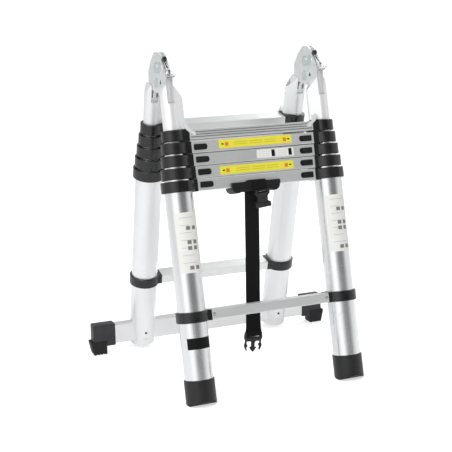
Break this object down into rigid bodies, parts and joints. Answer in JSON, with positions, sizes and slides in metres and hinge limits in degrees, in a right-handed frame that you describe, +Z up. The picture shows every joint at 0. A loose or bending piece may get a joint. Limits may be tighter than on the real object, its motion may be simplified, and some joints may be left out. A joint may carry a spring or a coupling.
{
  "type": "telescoping ladder",
  "caption": "Free-standing aluminium A-frame ladder with telescoping legs, thumb latches, locking hinges, a stabiliser bar and a carry strap.",
  "frame": {"origin": "on the floor, midway between the front feet and the rear leg's foot line, in the ladder's middle plane", "axes": "+Z up, +X to the right when facing the front leg, +Y from the front leg to the rear leg"},
  "size_m": [0.711, 0.5288, 0.8234],
  "materials": {
    "tube_aluminium": "satin anodised",
    "rung_aluminium": "satin extruded",
    "bar_aluminium": "satin extruded",
    "stay_aluminium": "satin",
    "hinge_steel": "zinc plated",
    "pivot_steel": "zinc plated",
    "lever_steel": "chromed, with a black knob",
    "collar_plastic": "moulded, fine grain",
    "latch_plastic": "moulded",
    "foot_rubber": "matt",
    "cap_plastic": "moulded",
    "handle_plastic": "moulded",
    "strap_webbing": "woven webbing",
    "buckle_plastic": "moulded"
  },
  "bodies": {
    "front_base": {"front_tube_1": "tube_aluminium", "front_guides_1": "collar_plastic", "front_base_rungs": "rung_aluminium", "front_feet": "foot_rubber", "carry_handle": "handle_plastic"},
    "front_stage_2": {"front_tube_2": "tube_aluminium", "front_guides_2": "collar_plastic", "front_rung_2": "rung_aluminium"},
    "front_stage_3": {"front_tube_3": "tube_aluminium", "front_guides_3": "collar_plastic", "front_rung_3": "rung_aluminium"},
    "front_stage_4": {"front_tube_4": "tube_aluminium", "front_guides_4": "collar_plastic", "front_rung_4": "rung_aluminium"},
    "front_stage_5": {"front_tube_5": "tube_aluminium", "front_guides_5": "collar_plastic", "front_rung_5": "rung_aluminium", "front_hinge_cheeks": "hinge_steel", "hinge_pivots": "pivot_steel", "front_hinge_stays": "stay_aluminium"},
    "rear_stage_5": {"rear_tube_5": "tube_aluminium", "rear_guides_5": "collar_plastic", "rear_rung_5": "rung_aluminium", "rear_hinge_leaves": "hinge_steel", "rear_hinge_stays": "stay_aluminium"},
    "rear_stage_4": {"rear_tube_4": "tube_aluminium", "rear_guides_4": "collar_plastic", "rear_rung_4": "rung_aluminium"},
    "rear_stage_3": {"rear_tube_3": "tube_aluminium", "rear_guides_3": "collar_plastic", "rear_rung_3": "rung_aluminium"},
    "rear_stage_2": {"rear_tube_2": "tube_aluminium", "rear_guides_2": "collar_plastic", "rear_rung_2": "rung_aluminium"},
    "rear_base": {"rear_tube_1": "tube_aluminium", "rear_guides_1": "collar_plastic", "rear_base_rungs": "rung_aluminium", "stabiliser_bar": "bar_aluminium", "stabiliser_caps": "cap_plastic"},
    "front_latch_left_1": {"front_latch_left_1": "latch_plastic"},
    "front_latch_right_1": {"front_latch_right_1": "latch_plastic"},
    "front_latch_left_2": {"front_latch_left_2": "latch_plastic"},
    "front_latch_right_2": {"front_latch_right_2": "latch_plastic"},
    "front_latch_left_3": {"front_latch_left_3": "latch_plastic"},
    "front_latch_right_3": {"front_latch_right_3": "latch_plastic"},
    "front_latch_left_4": {"front_latch_left_4": "latch_plastic"},
    "front_latch_right_4": {"front_latch_right_4": "latch_plastic"},
    "rear_latch_left_1": {"rear_latch_left_1": "latch_plastic"},
    "rear_latch_right_1": {"rear_latch_right_1": "latch_plastic"},
    "rear_latch_left_2": {"rear_latch_left_2": "latch_plastic"},
    "rear_latch_right_2": {"rear_latch_right_2": "latch_plastic"},
    "rear_latch_left_3": {"rear_latch_left_3": "latch_plastic"},
    "rear_latch_right_3": {"rear_latch_right_3": "latch_plastic"},
    "rear_latch_left_4": {"rear_latch_left_4": "latch_plastic"},
    "rear_latch_right_4": {"rear_latch_right_4": "latch_plastic"},
    "hinge_lever_left": {"hinge_lever_left": "lever_steel"},
    "hinge_lever_right": {"hinge_lever_right": "lever_steel"},
    "strap": {"strap_webbing": "strap_webbing", "strap_buckle_prong": "buckle_plastic"},
    "buckle_socket": {"strap_buckle_socket": "buckle_plastic"}
  },
  "joints": [
    {"name": "front_slide_2", "type": "slide", "parent": "front_base", "child": "front_stage_2", "axis": [0, 0.2351, 0.972], "range_m": [0, 0.2815]},
    {"name": "front_slide_3", "type": "slide", "parent": "front_stage_2", "child": "front_stage_3", "axis": [0, 0.2351, 0.972], "range_m": [0, 0.2815]},
    {"name": "front_slide_4", "type": "slide", "parent": "front_stage_3", "child": "front_stage_4", "axis": [0, 0.2351, 0.972], "range_m": [0, 0.2815]},
    {"name": "front_slide_5", "type": "slide", "parent": "front_stage_4", "child": "front_stage_5", "axis": [0, 0.2351, 0.972], "range_m": [0, 0.2815]},
    {"name": "hinge_fold", "type": "hinge", "parent": "front_stage_5", "child": "rear_stage_5", "pos_m": [0, 0, 0.78542], "axis": [1, 0, 0], "range_deg": [-27.2, 152.8]},
    {"name": "rear_slide_4", "type": "slide", "parent": "rear_stage_5", "child": "rear_stage_4", "axis": [0, 0.2351, -0.972], "range_m": [0, 0.2815]},
    {"name": "rear_slide_3", "type": "slide", "parent": "rear_stage_4", "child": "rear_stage_3", "axis": [0, 0.2351, -0.972], "range_m": [0, 0.2815]},
    {"name": "rear_slide_2", "type": "slide", "parent": "rear_stage_3", "child": "rear_stage_2", "axis": [0, 0.2351, -0.972], "range_m": [0, 0.2815]},
    {"name": "rear_slide_1", "type": "slide", "parent": "rear_stage_2", "child": "rear_base", "axis": [0, 0.2351, -0.972], "range_m": [0, 0.2815]},
    {"name": "front_latch_left_1_press", "type": "slide", "parent": "front_base", "child": "front_latch_left_1", "axis": [1, 0, 0], "range_m": [0, 0.008], "stiffness_N_per_m": 300},
    {"name": "front_latch_right_1_press", "type": "slide", "parent": "front_base", "child": "front_latch_right_1", "axis": [-1, 0, 0], "range_m": [0, 0.008], "stiffness_N_per_m": 300},
    {"name": "front_latch_left_2_press", "type": "slide", "parent": "front_stage_2", "child": "front_latch_left_2", "axis": [1, 0, 0], "range_m": [0, 0.008], "stiffness_N_per_m": 300},
    {"name": "front_latch_right_2_press", "type": "slide", "parent": "front_stage_2", "child": "front_latch_right_2", "axis": [-1, 0, 0], "range_m": [0, 0.008], "stiffness_N_per_m": 300},
    {"name": "front_latch_left_3_press", "type": "slide", "parent": "front_stage_3", "child": "front_latch_left_3", "axis": [1, 0, 0], "range_m": [0, 0.008], "stiffness_N_per_m": 300},
    {"name": "front_latch_right_3_press", "type": "slide", "parent": "front_stage_3", "child": "front_latch_right_3", "axis": [-1, 0, 0], "range_m": [0, 0.008], "stiffness_N_per_m": 300},
    {"name": "front_latch_left_4_press", "type": "slide", "parent": "front_stage_4", "child": "front_latch_left_4", "axis": [1, 0, 0], "range_m": [0, 0.008], "stiffness_N_per_m": 300},
    {"name": "front_latch_right_4_press", "type": "slide", "parent": "front_stage_4", "child": "front_latch_right_4", "axis": [-1, 0, 0], "range_m": [0, 0.008], "stiffness_N_per_m": 300},
    {"name": "rear_latch_left_1_press", "type": "slide", "parent": "rear_base", "child": "rear_latch_left_1", "axis": [1, 0, 0], "range_m": [0, 0.008], "stiffness_N_per_m": 300},
    {"name": "rear_latch_right_1_press", "type": "slide", "parent": "rear_base", "child": "rear_latch_right_1", "axis": [-1, 0, 0], "range_m": [0, 0.008], "stiffness_N_per_m": 300},
    {"name": "rear_latch_left_2_press", "type": "slide", "parent": "rear_stage_2", "child": "rear_latch_left_2", "axis": [1, 0, 0], "range_m": [0, 0.008], "stiffness_N_per_m": 300},
    {"name": "rear_latch_right_2_press", "type": "slide", "parent": "rear_stage_2", "child": "rear_latch_right_2", "axis": [-1, 0, 0], "range_m": [0, 0.008], "stiffness_N_per_m": 300},
    {"name": "rear_latch_left_3_press", "type": "slide", "parent": "rear_stage_3", "child": "rear_latch_left_3", "axis": [1, 0, 0], "range_m": [0, 0.008], "stiffness_N_per_m": 300},
    {"name": "rear_latch_right_3_press", "type": "slide", "parent": "rear_stage_3", "child": "rear_latch_right_3", "axis": [-1, 0, 0], "range_m": [0, 0.008], "stiffness_N_per_m": 300},
    {"name": "rear_latch_left_4_press", "type": "slide", "parent": "rear_stage_4", "child": "rear_latch_left_4", "axis": [1, 0, 0], "range_m": [0, 0.008], "stiffness_N_per_m": 300},
    {"name": "rear_latch_right_4_press", "type": "slide", "parent": "rear_stage_4", "child": "rear_latch_right_4", "axis": [-1, 0, 0], "range_m": [0, 0.008], "stiffness_N_per_m": 300},
    {"name": "hinge_lever_left_press", "type": "hinge", "parent": "front_stage_5", "child": "hinge_lever_left", "pos_m": [-0.2025, -0.05074, 0.77922], "axis": [1, 0, 0], "range_deg": [-5, 12], "stiffness_Nm_per_rad": 0.5},
    {"name": "hinge_lever_right_press", "type": "hinge", "parent": "front_stage_5", "child": "hinge_lever_right", "pos_m": [0.2025, -0.05074, 0.77922], "axis": [1, 0, 0], "range_deg": [-5, 12], "stiffness_Nm_per_rad": 0.5},
    {"name": "strap_swing", "type": "hinge", "parent": "front_base", "child": "strap", "pos_m": [-0.019, -0.132, 0.484], "axis": [1, 0, 0], "range_deg": [-5, 5]},
    {"name": "buckle_socket_swing", "type": "hinge", "parent": "front_base", "child": "buckle_socket", "pos_m": [0.003, -0.143, 0.485], "axis": [1, 0, 0], "range_deg": [-8, 1]}
  ]
}
